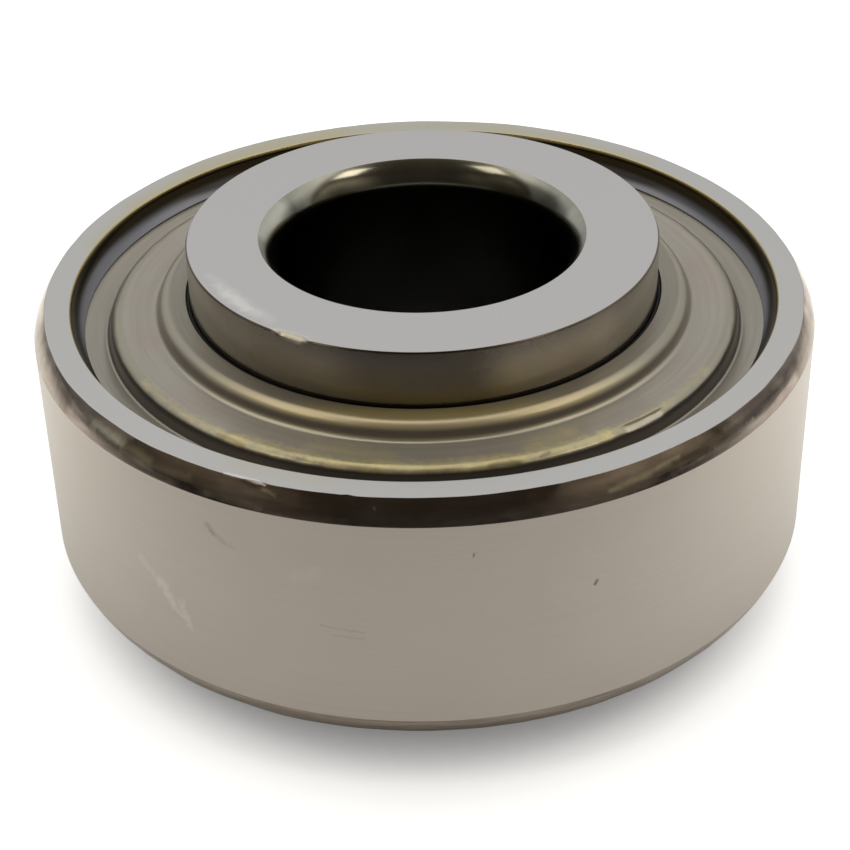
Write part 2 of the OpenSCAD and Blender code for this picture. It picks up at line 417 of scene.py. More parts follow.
def rise(depth):  # height of a point below the outer ring's upper face
    return faceHeight - depth


outerMarks = {
    "scuffs": [
        ((-132.9, 20, rise(6.45)), (-129.7, 20, rise(7.35)), 0.30, 0.3),
        ((-129.9, 20, rise(7.25)), (-128.6, 20, rise(7.6)), 0.36, 0.8),
        ((-128.6, 20, rise(7.75)), (-127.3, 20, rise(8.25)), 0.40, 0.75),
        ((-127.3, 20, rise(8.3)), (-126.2, 20, rise(8.65)), 0.28, 0.6),
        ((-126.0, 20, rise(7.9)), (-125.6, 20, rise(8.4)), 0.26, 0.5),
        ((-125.4, 20, rise(8.6)), (-124.9, 20, rise(9.15)), 0.26, 0.6),
        ((-107.6, 20, rise(4.35)), (-105.2, 20, rise(4.05)), 0.5, 0.2),
        ((-68.3, 20, rise(5.75)), (-67.7, 20, rise(5.35)), 0.15, 0.5),
    ],
    "pits": [
        ((-120.1, 20, rise(2.65)), (-119.1, 20, rise(3.05)), 0.22, 0.3),
        ((-119.6, 20, rise(2.95)), (-119.2, 20, rise(3.05)), 0.16, 0.45),
        ((-119.1, 20, rise(3.05)), (-117.6, 20, rise(3.4)), 0.20, 0.22),
        ((-117.6, 20, rise(3.4)), (-116.2, 20, rise(3.5)), 0.18, 0.12),
        ((-68.1, 20, rise(5.6)), (-67.8, 20, rise(5.4)), 0.12, 0.85),
        ((-84.5, 20, rise(2.85)), (-84.4, 20, rise(2.7)), 0.08, 0.6),
        ((-104.6, 20, rise(6.95)), (-98.9, 20, rise(7.15)), 0.08, 0.2),
        ((-103.0, 20, rise(7.45)), (-98.9, 20, rise(7.5)), 0.07, 0.15),
    ],
    # chips on the face's outer edge: real wear, their brightness a painted highlight
    "chips": [
        ((-117.8, 19.32, rise(0.0)), (-113.0, 19.31, rise(0.03)), 0.13, 1.0),
        ((-113.0, 19.33, rise(0.03)), (-111.8, 19.38, rise(0.08)), 0.08, 0.9),
        ((-97.0, 19.62, rise(0.38)), (-96.9, 19.64, rise(0.44)), 0.10, 0.55),
    ],
    # painted highlights and reflections on the rounded corner
    "cornerLights": [
        ((-148, 19.65, rise(0.45)), (-138, 19.65, rise(0.45)), 0.3, 0.35),
        ((-142, 19.68, rise(0.5)), (-130, 19.72, rise(0.6)), 0.4, 1.0),
        ((-130, 19.78, rise(0.75)), (-123, 19.7, rise(0.55)), 0.28, 0.55),
        ((-120, 19.85, rise(0.95)), (-112, 19.88, rise(1.0)), 0.2, 0.4),
        ((-112.0, 19.5, rise(0.2)), (-110.2, 19.6, rise(0.35)), 0.12, 0.6),
        ((-92, 19.87, rise(1.0)), (-78, 19.82, rise(0.85)), 0.08, 0.2),
        ((-66, 19.8, rise(0.75)), (-60, 19.74, rise(0.6)), 0.2, 0.8),
        ((-61, 19.72, rise(0.6)), (-55, 19.66, rise(0.42)), 0.18, 0.7),
        ((-52, 19.84, rise(0.85)), (-40, 19.76, rise(0.65)), 0.12, 0.7),
        ((-46, 19.6, rise(0.35)), (-30, 19.62, rise(0.35)), 0.2, 0.4),
    ],
    # painted shade on the rounded corner, darkening its reflections near the outline and in spots
    "cornerDarks": [
        ((-173, 19.8, rise(0.8)), (-150, 19.8, rise(0.8)), 0.6, 0.85),
        ((-25, 19.8, rise(0.8)), (-8, 19.8, rise(0.8)), 0.6, 0.85),
        ((-141, 19.75, rise(0.65)), (-136, 19.8, rise(0.75)), 0.2, 0.5),
        ((-100, 19.9, rise(1.1)), (-80, 19.9, rise(1.1)), 0.14, 0.6),
        ((-56, 19.7, rise(0.55)), (-50, 19.75, rise(0.65)), 0.2, 0.55),
    ],
    "straw": [
        ((165, 18.4, rise(0)), (150, 18.4, rise(0)), 0.6, 0.5),
        ((150, 18.4, rise(0)), (135, 18.4, rise(0)), 0.8, 0.7),
        ((135, 18.5, rise(0)), (120, 18.5, rise(0)), 1.1, 0.85),
        ((120, 18.6, rise(0)), (104, 18.6, rise(0)), 1.3, 0.9),
        ((104, 18.6, rise(0)), (88, 18.6, rise(0)), 1.3, 0.6),
        ((88, 18.6, rise(0)), (74, 18.6, rise(0)), 1.3, 0.7),
        ((74, 18.5, rise(0)), (60, 18.5, rise(0)), 1.1, 0.7),
        ((60, 18.4, rise(0)), (46, 18.4, rise(0)), 0.8, 0.5),
        ((-118, 18.5, rise(0)), (-104, 18.5, rise(0)), 0.8, 0.3),
    ],
    "nick": (-113.2, 0.55, 0.09),  # degrees, length and depth
    "notch": (-100.5, 0.18, 0.08),
}


def cornerArc(reach, length, startAngle, steps):  # from the wall, where it starts at an angle, to the face
    endAngle = 2 * math.degrees(math.atan2(reach, length)) - startAngle
    start, end = math.radians(startAngle), math.radians(endAngle)
    radius = length / (math.sin(end) - math.sin(start))
    return [(radius * (math.cos(a) - math.cos(start)), radius * (math.sin(a) - math.sin(start)), 0.0)
            for a in [start + (end - start) * i / steps for i in range(steps + 1)]]


def outerRingSection(v):
    wallTop = seatWall / 2
    soft = v["edgeRound"]
    corner = [(outerRadius + r, wallTop + z, 0.0)
              for r, z, bend in cornerArc(v["cornerReach"], faceHeight - wallTop, v["cornerStart"], 10)]
    leadIn = [(v["mouthRadius"] + r, rise(v["mouthDepth"]) - z, 0.0)
              for r, z, bend in cornerArc(v["mouthRadius"] - v["lipRadius"], v["leadInDepth"] - v["mouthDepth"],
                                          v["leadInStart"], 8)]
    raceAngle = math.degrees(math.acos((v["shoulderRadius"] - v["raceCentre"]) / v["raceRadius"]))
    race = arc(v["raceCentre"], 0, v["raceRadius"], raceAngle, raceAngle / 15, 7)
    upper = [(*corner[0][:2], soft), *corner[1:-1],
             (corner[-1][0], faceHeight, soft),
             (v["mouthRadius"], faceHeight, v["mouthEdge"]),
             (*leadIn[0][:2], soft), *leadIn[1:-1],
             (*leadIn[-1][:2], soft / 2),
             (v["lipRadius"], rise(v["lipDepth"]), soft / 2),
             (v["grooveRadius"], rise(v["lipDepth"]), soft),
             (v["grooveRadius"], rise(v["seatDepth"]), soft),
             (v["seatRadius"], rise(v["seatDepth"]), soft),
             (v["shoulderRadius"], rise(v["shoulderDepth"]), soft),
             (*race[0][:2], soft), *race[1:]]
    return upper + mirrored(upper)


def wornEdge(v, marks):  # the face's outer edge wanders a little and has a nick and a notch
    start, end = seatWall / 2 + 0.3, faceHeight
    inner = outerRadius - v["cornerReach"] - 0.12

    def mover(p):
        radius = math.hypot(p.x, p.y)
        if abs(p.z) < start or radius < inner:
            return p
        weight = min(1.0, (abs(p.z) - start) / (end - start))
        around = Vector((p.x, p.y, 40 + p.z)) / outerRadius
        shift = v["edgeWander"] * weight * (noise.noise(around * 7) + 0.5 * noise.noise(around * 19))
        angle = math.degrees(math.atan2(p.y, p.x))
        for markAngle, length, depth in (marks["nick"], marks["notch"]):
            along = math.radians(angle - markAngle) * radius / length
            if p.z > 0:
                shift -= depth * weight ** 4 * math.exp(-along ** 2)
        return Vector((p.x * (1 + shift / radius), p.y * (1 + shift / radius), p.z))

    return mover


def outerRingSteel(v, marks):
    material, tree, shader, facts = newFinish("groundRingSteel")
    shader.inputs["Metallic"].default_value = 1.0
    shader.inputs["Specular Tint"].default_value = (*v["grazingTint"], 1.0)
    radius, height, place = facts["radius"], facts["height"], facts["place"]
    face = calc(tree, "MULTIPLY", fade(tree, facts["up"], 0.93, 0.98),
                fade(tree, height, rise(0.05), rise(0.02)))
    corner = calc(tree, "MULTIPLY", fade(tree, height, seatWall / 2 - 0.01, seatWall / 2 + 0.02),
                  fade(tree, radius, v["mouthRadius"] + 0.6, v["mouthRadius"] + 0.7))
    corner = calc(tree, "MULTIPLY", corner, calc(tree, "SUBTRACT", 1.0, face))
    seat = fade(tree, radius, v["mouthRadius"] + 0.09, v["mouthRadius"] + 0.11, 1.0, 0.0)
    mouthEdge = calc(tree, "MULTIPLY", seat, fade(tree, height, rise(0.22), rise(0.12)))
    # painted shade on the upper part of the lead-in, under the face's edge
    mouthShade = calc(tree, "MULTIPLY", seat, fade(tree, height, rise(v["mouthDark"][1]), rise(v["mouthDark"][0])))
    cloud = noiseValue(tree, place, 0.16, 3.0)
    fine = noiseValue(tree, place, 1.4, 4.0)
    lines = turningLines(tree, facts, 0.10, 6.0)
    streaks = turningLines(tree, facts, 0.35, 4.0)
    lineTone = fade(tree, lines, 0.3, 0.7, 0.985, 1.015)
    ground = mixed(tree, cloud, v["tint"], v["tintLight"])
    ground = vectorCalc(tree, "SCALE", ground)
    plug(tree, ground.node.inputs["Scale"], lineTone)
    polished = mixed(tree, fade(tree, streaks, 0.35, 0.7), v["cornerTint"], v["cornerTintLight"])
    # paints highlights onto the rounded corner
    polished = mixed(tree, markMask(tree, facts, marks["cornerLights"], 0.2), polished, v["oliveTint"])
    # paints shade onto the rounded corner
    polished = mixed(tree, markMask(tree, facts, marks["cornerDarks"], 0.2), polished, (0.16, 0.12, 0.09))
    flat = mixed(tree, markMask(tree, facts, marks["straw"], 0.5), v["faceTint"], v["strawTint"])
    colour = mixed(tree, corner, ground, polished)
    colour = mixed(tree, seat, colour, v["leadInTint"])
    colour = mixed(tree, mouthShade, colour, v["mouthTint"])
    colour = mixed(tree, mouthEdge, colour, v["mouthEdgeTint"])
    colour = mixed(tree, face, colour, flat)
    # the chips' wear, with a painted highlight on it
    chips = markMask(tree, facts, marks["chips"], 0.08)
    colour = mixed(tree, chips, colour, v["chipTint"])
    scuffs = markMask(tree, facts, marks["scuffs"], 0.8)
    pits = markMask(tree, facts, marks["pits"], 0.15)
    colour = mixed(tree, scuffs, colour, (0.74, 0.70, 0.62))
    colour = mixed(tree, pits, colour, (0.17, 0.14, 0.11))
    rough = mixedValue(tree, cloud, 0.27, 0.35)
    rough = mixedValue(tree, corner, rough, fade(tree, fine, 0.3, 0.7, 0.12, 0.20))
    rough = mixedValue(tree, seat, rough, 0.22)
    rough = mixedValue(tree, face, rough, 0.3)
    rough = calc(tree, "ADD", rough, calc(tree, "MULTIPLY", scuffs, 0.2))
    rough = calc(tree, "ADD", rough, calc(tree, "MULTIPLY", chips, 0.35))
    uneven = calc(tree, "MULTIPLY", noiseValue(tree, place, 0.55, 2.0),
                  fade(tree, height, seatWall / 2 + 0.15, seatWall / 2 + 0.5))
    uneven = calc(tree, "MULTIPLY", uneven, corner)
    depth = calc(tree, "ADD", calc(tree, "MULTIPLY", lines, 0.00025), calc(tree, "MULTIPLY", uneven, 0.02))
    depth = calc(tree, "SUBTRACT", depth, calc(tree, "MULTIPLY", pits, 0.015))
    finishSurface(tree, shader, colour, rough, depth)
    return material


def dressed(piece, body, node):
    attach(piece, body)
    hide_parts(node)


def makeOuterRing(v, marks):
    piece = turnedPiece("outerRing", outerRingSection(v), v["segments"], outerRingSteel(v, marks), 0.12,
                        lambda p: p.x > 19.1 and p.y > rise(0.01))
    moveVertices(piece, wornEdge(v, marks))
    dressed(piece, "outer_ring_assembly", "outer_ring")
    print("outer ring made")


makeOuterRing(outerRing, outerMarks)


# Inner ring

innerRing = {
    "segments": 576,
    "bevel": 0.07,
    "edgeZone": 0.6,  # how far from the upper outer edge its mesh is fine
    "mouthRadius": 8.33,  # where the bore's rounded corner meets the end face
    "raceCentre": 14.37,
    "raceRadius": 3.51,
    "edgeRound": 0.02,
    "wallTint": (0.41, 0.375, 0.325),
    "wallTintLight": (0.48, 0.445, 0.39),
    "boreTint": (0.30, 0.30, 0.25),
    "boreTintLight": (0.42, 0.41, 0.35),
    # painted shade deeper in the bore
    "boreDeepTint": (0.16, 0.16, 0.15),
    # painted shade: a dark line on the bevel of the upper outer edge
    "edgeTint": (0.16, 0.13, 0.10),
    "faceTint": (0.62, 0.61, 0.60),
}

innerMarks = {
    "smears": [
        ((-158, 11.3, endHeight), (-130, 11.3, endHeight), 0.4, 0.3),
        ((-153, 11.25, endHeight), (-134, 11.3, endHeight), 0.45, 0.6),
        ((-148, 11.25, endHeight), (-138, 11.3, endHeight), 0.5, 0.95),
    ],
    # painted shade and a painted highlight on the ring's outer wall, before the object
    "wallDarks": [((-101, 12, endHeight - 1.2), (-80, 12, endHeight - 1.2), 2.4, 0.6)],
    "wallLights": [((-68, 12, endHeight - 1.2), (-48, 12, endHeight - 1.2), 2.4, 1.0)],
    # painted highlights on the bore's rounded corner
    "boreLights": [
        ((178, 8.1, endHeight - 0.4), (156, 8.1, endHeight - 0.5), 0.9, 1.0),
        ((146, 8.0, endHeight - 0.7), (133, 7.95, endHeight - 0.8), 0.5, 0.6),
        ((14, 8.1, endHeight - 0.5), (0, 8.1, endHeight - 0.6), 0.7, 0.6),
    ],
    # painted shade on the bore's rounded corner
    "boreDarks": [
        ((64, 7.95, endHeight - 0.8), (28, 7.95, endHeight - 0.8), 0.8, 0.8),
        ((126, 7.8, endHeight - 1.0), (64, 7.8, endHeight - 1.0), 0.6, 0.5),
    ],
    # wear at the nick on the upper edge, with a painted highlight on it
    "chip": [((-124.0, 11.93, endHeight - 0.02), (-119.4, 11.96, endHeight - 0.16), 0.22, 1.0)],
    # flattened place on the upper edge: degrees, half length, depth and reach inward
    "nick": (-121.6, 0.85, 0.3, 0.42),
}


def innerRingSection(v):
    wallTop = boreWall / 2
    soft = v["edgeRound"]
    corner = [(boreRadius - r, wallTop + z, 0.0)
              for r, z, bend in cornerArc(v["mouthRadius"] - boreRadius, endHeight - wallTop, 0, 16)]
    raceAngle = math.degrees(math.acos((v["raceCentre"] - innerRadius) / v["raceRadius"]))
    race = arc(v["raceCentre"], 0, v["raceRadius"], 180 - raceAngle / 15, 180 - raceAngle, 7)
    upper = [*race[:-1], (*race[-1][:2], soft),
             (innerRadius, endHeight - v["edgeZone"], 0),
             (innerRadius, endHeight - v["bevel"], soft),
             (innerRadius - v["bevel"], endHeight, soft),
             (innerRadius - v["edgeZone"], endHeight, 0),
             (corner[-1][0], endHeight, 0.04), *corner[-2::-1],
             (boreRadius, wallTop - 0.02, 0)]
    return upper + mirrored(upper)


def nickedEdge(v, marks):
    nickAngle, length, depth, reach = marks["nick"]

    def mover(p):
        radius = math.hypot(p.x, p.y)
        inward, below = (innerRadius - radius) / reach, (endHeight - p.z) / v["edgeZone"]
        if inward > 1 or below > 1:
            return p
        along = math.radians(math.degrees(math.atan2(p.y, p.x)) - nickAngle) * radius / length
        drop = depth * math.exp(-along ** 4) * (1 - max(inward, 0)) ** 2 * (1 - max(below, 0)) ** 2
        return p - Vector((0, 0, drop))

    return mover


def innerRingSteel(v, marks):
    material, tree, shader, facts = newFinish("polishedRingSteel")
    shader.inputs["Metallic"].default_value = 1.0
    radius, height, place = facts["radius"], facts["height"], facts["place"]
    face = calc(tree, "MULTIPLY", fade(tree, facts["up"], 0.93, 0.98),
                fade(tree, height, endHeight - 0.05, endHeight - 0.02))
    inside = fade(tree, radius, innerRadius - 0.5, innerRadius - 0.3, 1.0, 0.0)
    lines = turningLines(tree, facts, 0.12, 6.0)
    cloud = noiseValue(tree, place, 0.2, 3.0)
    wall = mixed(tree, cloud, v["wallTint"], v["wallTintLight"])
    # paints shade and a highlight onto the outer wall
    wall = mixed(tree, markMask(tree, facts, marks["wallDarks"], 0.5), wall, (0.22, 0.19, 0.165))
    wall = mixed(tree, markMask(tree, facts, marks["wallLights"], 0.5), wall, (0.72, 0.66, 0.57))
    bore = mixed(tree, fade(tree, cloud, 0.35, 0.65), v["boreTint"], v["boreTintLight"])
    # the bore darkens with depth: painted shade
    bore = mixed(tree, fade(tree, height, boreWall / 2 - 0.2, boreWall / 2 + 1.1), v["boreDeepTint"], bore)
    # paints highlights onto the bore's rounded corner
    bore = mixed(tree, markMask(tree, facts, marks["boreLights"], 0.3), bore, (0.62, 0.61, 0.52))
    # paints shade onto the bore's rounded corner
    bore = mixed(tree, markMask(tree, facts, marks["boreDarks"], 0.3), bore, (0.09, 0.09, 0.065))
    colour = mixed(tree, inside, wall, bore)
    colour = mixed(tree, face, colour, v["faceTint"])
    # paints shade onto the bevel of the upper outer edge
    edge = calc(tree, "MULTIPLY", fade(tree, radius, innerRadius - 0.1, innerRadius - 0.06),
                fade(tree, height, endHeight - 0.11, endHeight - 0.06))
    colour = mixed(tree, edge, colour, v["edgeTint"])
    smears = calc(tree, "MULTIPLY", markMask(tree, facts, marks["smears"], 0.6), face)
    colour = mixed(tree, smears, colour, (0.82, 0.81, 0.79))
    # the nick's wear with a painted highlight on it
    chip = markMask(tree, facts, marks["chip"], 0.1)
    colour = mixed(tree, chip, colour, (0.80, 0.74, 0.60))
    rough = mixedValue(tree, inside, fade(tree, cloud, 0.3, 0.7, 0.2, 0.28), 0.16)
    rough = mixedValue(tree, face, rough, fade(tree, cloud, 0.3, 0.7, 0.27, 0.34))
    rough = mixedValue(tree, chip, rough, 0.4)
    finishSurface(tree, shader, colour, rough, calc(tree, "MULTIPLY", lines, mixedValue(tree, face, 0.0004, 0.0)))
    return material


def makeInnerRing(v, marks):
    piece = turnedPiece("innerRing", innerRingSection(v), v["segments"], innerRingSteel(v, marks), 0.06,
                        lambda p: p.x > innerRadius - v["edgeZone"] and p.y > endHeight - v["edgeZone"])
    moveVertices(piece, nickedEdge(v, marks))
    dressed(piece, "inner_ring", "inner_ring")
    print("inner ring made")


makeInnerRing(innerRing, innerMarks)


# Seals: a pressed steel cap, a rubber washer with its lip and a backing washer on each side

seal = {
    "capSegments": 576,  # the upper cap's, fine enough for its dent
    "segments": 384,
    "capSheet": 0.35,
    "capBore": 12.3,
    "flangeStart": 12.21,  # bore of the finished cap, its edge burnished inward over the lip
    "flangeEdge": 13.6,
    "innerFoot": 13.7,
    "flatDepth": 0.825,
    "flatEdge": 16.05,
    "outerFoot": 16.3,
    "troughDepth": 1.76,
    "rimStart": 17.35,
    "rimDepth": 1.38,
    "bend": 0.15,  # inside radius of the cap's bends
    "rollBend": 0.62,  # outside radius of the bend between the flange and the inner wall
    "footBend": 0.27,
    "rimBend": 0.68,
    "rubberSheet": 0.3,
    "rubberGap": 0.3,
    "lipPlay": 0.03,
    "lipSlant": 0.25,
    "lipCrest": 0.08,
    "backingSheet": 0.3,
    "edgeRound": 0.03,
    "shoulderBend": 0.6,  # radius of the worn bend between the flat and the outer wall
    "flangeTint": (0.37, 0.34, 0.28),
    # painted sheen on the flange before the object
    "flangeTintFront": (0.74, 0.62, 0.29),
    "rollTint": (0.46, 0.43, 0.34),
    # painted highlight on the roll before the object
    "rollTintFront": (0.80, 0.69, 0.44),
    # painted shade on the step wall between the flange and the flat
    "innerWallTint": (0.34, 0.30, 0.265),
    "footTint": (0.66, 0.61, 0.48),  # painted highlight along the foot of the inner wall, before the object
    "flatTint": (0.475, 0.45, 0.385),
    "flatTintWarm": (0.48, 0.425, 0.37),
    "shoulderTint": (0.44, 0.41, 0.33),
    # painted shade on the outer wall, down in the trough
    "outerWallTint": (0.16, 0.145, 0.13),
    "troughTint": (0.45, 0.42, 0.36),
    # colour of the painted highlight on the outer shoulder and flat, before the object
    "strawTint": (0.80, 0.69, 0.33),
}

sealMarks = {
    # painted highlights on the outer shoulder and flat, before the object
    "straw": [
        ((-150, 15.8, rise(0.85)), (-137, 15.8, rise(0.85)), 0.3, 0.35),
        ((-137, 15.8, rise(0.85)), (-125, 15.8, rise(0.85)), 0.35, 0.5),
        ((-125, 15.8, rise(0.85)), (-104, 15.8, rise(0.85)), 0.5, 0.85),
        ((-104, 15.8, rise(0.85)), (-90, 15.8, rise(0.85)), 0.65, 1.0),
        ((-90, 15.8, rise(0.85)), (-76, 15.8, rise(0.85)), 0.65, 1.0),
        ((-76, 15.8, rise(0.85)), (-58, 15.8, rise(0.85)), 0.5, 0.85),
        ((-58, 15.8, rise(0.85)), (-44, 15.8, rise(0.85)), 0.3, 0.35),
        ((-44, 15.8, rise(0.85)), (-30, 15.8, rise(0.85)), 0.3, 0.25),
        ((-72, 15.2, rise(0.825)), (-64, 14.8, rise(0.825)), 0.7, 0.5),
        ((-110, 14.8, rise(0.825)), (-97, 15.0, rise(0.825)), 0.7, 0.5),
    ],
    "browns": [
        ((-79.5, 15.95, rise(0.9)), (-75, 16.0, rise(0.95)), 0.24, 0.75),
        ((-71, 15.9, rise(0.9)), (-69.5, 15.8, rise(0.85)), 0.14, 0.7),
        ((-112, 15.9, rise(0.9)), (-109, 15.95, rise(0.9)), 0.12, 0.5),
        ((-128, 15.9, rise(0.9)), (-122, 15.95, rise(0.9)), 0.14, 0.5),
    ],
    # pressed dent on the upper cap's outer shoulder: degrees, radius, half length, width, depth
    "dent": (-50.2, 15.69, 1.3, 0.42, 0.17),
    # painted highlight along the dent
    "dentLight": [((-54, 15.9, rise(0.9)), (-46.5, 15.92, rise(0.9)), 0.24, 1.0)],
    "crinkle": 0.03,  # height of the uneven pressing on the outer shoulder
}


def capPath(v):
    return [(v["capBore"], faceHeight, 0),
            (v["flangeEdge"], faceHeight, v["rollBend"]),
            (v["innerFoot"], rise(v["flatDepth"]), v["footBend"]),
            (v["flatEdge"], rise(v["flatDepth"]), v["shoulderBend"]),
            (v["outerFoot"], rise(v["troughDepth"]), v["bend"]),
            (v["rimStart"], rise(v["rimDepth"]), v["rimBend"]),
            (sealRadius, rise(v["rimDepth"]), 0)]


def capSection(v):
    path = [(v["flangeStart"], faceHeight, 0), *capPath(v)[1:]]
    return sheetSection(path, 0, v["capSheet"], v["edgeRound"])


def backingSection(v):
    top = rise(v["flatDepth"] + v["rubberSheet"])
    share = (rise(v["flatDepth"]) - top) / (v["troughDepth"] - v["flatDepth"])
    bendRadius = v["flatEdge"] + (v["outerFoot"] - v["flatEdge"]) * share
    path = [(v["capBore"], top, 0), (bendRadius, top, v["rimBend"]), *capPath(v)[4:]]
    return sheetSection(path, v["capSheet"], v["capSheet"] + v["backingSheet"], v["edgeRound"])


def rubberSection(v):
    top = rise(v["flatDepth"] + v["capSheet"])
    bottom = top - v["rubberSheet"]
    tip = innerRadius + v["lipPlay"]
    crest = v["flangeStart"] - v["lipPlay"]
    neck = v["flangeEdge"] - v["capSheet"] - v["rubberGap"]
    rim = v["flatEdge"] - v["capSheet"] - v["rubberGap"]
    soft = v["edgeRound"]
    return [(tip, top, soft), (tip + v["lipSlant"], bottom, soft), (rim, bottom, soft), (rim, top, soft),
            (neck, top, soft), (neck, rise(v["capSheet"]), soft),
            (crest, rise(v["capSheet"]), soft), (crest, rise(v["lipCrest"]), soft),
            (tip, rise(v["lipCrest"]), soft)]


def unevenPressing(v, marks):
    dentAngle, dentRadius, halfLength, width, dentDepth = marks["dent"]

    def mover(p):
        radius = math.hypot(p.x, p.y)
        around = Vector((p.x, p.y, 0)) / radius * 15
        shoulder = math.exp(-((radius - 15.85) / 0.3) ** 2)
        lift = marks["crinkle"] * shoulder * noise.noise(around * 1.1 + Vector((0, 0, radius * 1.5)))
        along = math.radians(math.degrees(math.atan2(p.y, p.x)) - dentAngle) * radius / halfLength
        across = (radius - dentRadius - 0.06 * along) / width
        if 0 < across < 1:  # a steep inner side and a gentle outer one
            lift -= dentDepth * math.exp(-along ** 8) * min(1, across / 0.2) * (1 - across) ** 0.8
        return p + Vector((0, 0, lift))

    return mover


def capSteel(v, marks):
    material, tree, shader, facts = newFinish("yellowZincSteel")
    place, radius = facts["place"], facts["radius"]
    bright = calc(tree, "SUBTRACT", fade(tree, radius, 15.9, 16.1, 0.5, 0.94),
                  fade(tree, radius, 16.26, 16.38, 0.0, 0.5))
    plug(tree, shader.inputs["Metallic"], bright)  # a dull layer lies over the metal but for the outer wall
    parts = addNode(tree, "ShaderNodeSeparateXYZ", Vector=place).outputs
    lines = turningLines(tree, facts, 0.15, 6.0)
    streaks = turningLines(tree, facts, 0.12, 3.5)
    cloud = noiseValue(tree, place, 0.22, 3.0)
    blotch = fade(tree, noiseValue(tree, place, 0.9, 4.0), 0.38, 0.62)
    flat = mixed(tree, fade(tree, cloud, 0.35, 0.65), v["flatTint"], v["flatTintWarm"])
    # the flange is painted yellower and brighter before the object: painted sheen
    flange = mixed(tree, fade(tree, parts["Y"], -11.0, -13.0), v["flangeTint"], v["flangeTintFront"])
    # the roll is painted lighter before the object: painted highlight
    roll = mixed(tree, fade(tree, parts["Y"], -7.5, -12.0), v["rollTint"], v["rollTintFront"])
    colour = mixed(tree, fade(tree, radius, 13.0, 13.2), flange, roll)
    # paints shade onto the step wall
    colour = mixed(tree, fade(tree, radius, 13.5, 13.65), colour, v["innerWallTint"])
    # painted highlight along the foot of the inner wall, before the object
    foot = mixed(tree, fade(tree, parts["Y"], -5.5, -11.0), flat, v["footTint"])
    colour = mixed(tree, fade(tree, radius, 13.66, 13.72), colour, foot)
    colour = mixed(tree, fade(tree, radius, 13.84, 13.98), colour, flat)
    colour = mixed(tree, fade(tree, radius, 15.4, 15.65), colour, v["shoulderTint"])
    # paints shade onto the outer wall
    colour = mixed(tree, fade(tree, radius, 16.0, 16.08), colour, v["outerWallTint"])
    colour = mixed(tree, fade(tree, radius, 16.26, 16.38), colour, v["troughTint"])
    # paints highlights onto the outer shoulder and flat
    straw = markMask(tree, facts, marks["straw"], 0.9)
    straw = calc(tree, "MULTIPLY", straw, fade(tree, radius, 16.02, 16.1, 1.0, 0.0))
    colour = mixed(tree, calc(tree, "MULTIPLY", straw, calc(tree, "MAXIMUM", blotch, 0.7)), colour,
                   v["strawTint"])
    colour = vectorCalc(tree, "SCALE", colour)
    plug(tree, colour.node.inputs["Scale"], fade(tree, streaks, 0.3, 0.7, 0.93, 1.05))
    colour = mixed(tree, markMask(tree, facts, marks["browns"], 0.2), colour, (0.24, 0.19, 0.10))
    # paints a highlight along the dent
    colour = mixed(tree, markMask(tree, facts, marks["dentLight"], 0.05), colour, (0.88, 0.81, 0.64))
    ripple = noiseValue(tree, place, 0.8, 3.0)
    depth = calc(tree, "ADD", calc(tree, "MULTIPLY", lines, 0.0008), calc(tree, "MULTIPLY", ripple, 0.01))
    finishSurface(tree, shader, colour, fade(tree, cloud, 0.3, 0.7, 0.30, 0.38), depth)
    return material


def sealRubber():
    material, tree, shader, facts = newFinish("blackSealRubber")
    shader.inputs["Specular IOR Level"].default_value = 0.25
    grain = noiseValue(tree, facts["place"], 6.0, 4.0)
    colour = mixed(tree, grain, (0.006, 0.006, 0.006), (0.014, 0.013, 0.013))
    finishSurface(tree, shader, colour, fade(tree, grain, 0.3, 0.7, 0.5, 0.7),
                  calc(tree, "MULTIPLY", grain, 0.01))
    return material


def plainSheetSteel(name, tint, lightTint):
    material, tree, shader, facts = newFinish(name)
    shader.inputs["Metallic"].default_value = 1.0
    cloud = noiseValue(tree, facts["place"], 0.5, 4.0)
    grain = noiseValue(tree, facts["place"], 7.0, 3.0)
    colour = mixed(tree, fade(tree, cloud, 0.35, 0.65), tint, lightTint)
    depth = calc(tree, "MULTIPLY", grain, 0.002)
    finishSurface(tree, shader, colour, fade(tree, cloud, 0.3, 0.7, 0.3, 0.45), depth)
    return material


def makeSeals(v, marks):
    capFinish = capSteel(v, marks)
    rubberFinish = sealRubber()
    backingFinish = plainSheetSteel("plainBackingSteel", (0.42, 0.41, 0.39), (0.50, 0.49, 0.47))
    for side, flip in (("upper", 1), ("lower", -1)):
        for part, section, finish, slot in (("_seal_cap", capSection(v), capFinish, "cap_steel"),
                                            ("_rubber_lip", rubberSection(v), rubberFinish, "seal_rubber"),
                                            ("_backing_washer", backingSection(v), backingFinish,
                                             "backing_steel")):
            corners = [(r, z * flip, bend) for r, z, bend in section]
            isUpperCap = side == "upper" and part == "_seal_cap"
            segments = v["capSegments" if isUpperCap else "segments"]
            piece = turnedPiece(side + part.title().replace("_", ""), corners, segments, finish, 0.05,
                                lambda p: isUpperCap and 15.4 < p.x < 16.3)
            if isUpperCap:
                moveVertices(piece, unevenPressing(v, marks))
            dressed(piece, "outer_ring_assembly", side + part)
    print("seals made")


makeSeals(seal, sealMarks)


# Balls, cage and rivets, hidden behind the seals

ballTrain = {
    "subdivisions": 5,
    "rivetRadius": 0.5,
    "rivetHeadRadius": 0.8,
    "rivetHeadHeight": 0.4,
    "cageSheet": 0.7,
    "rivetSegments": 32,
}


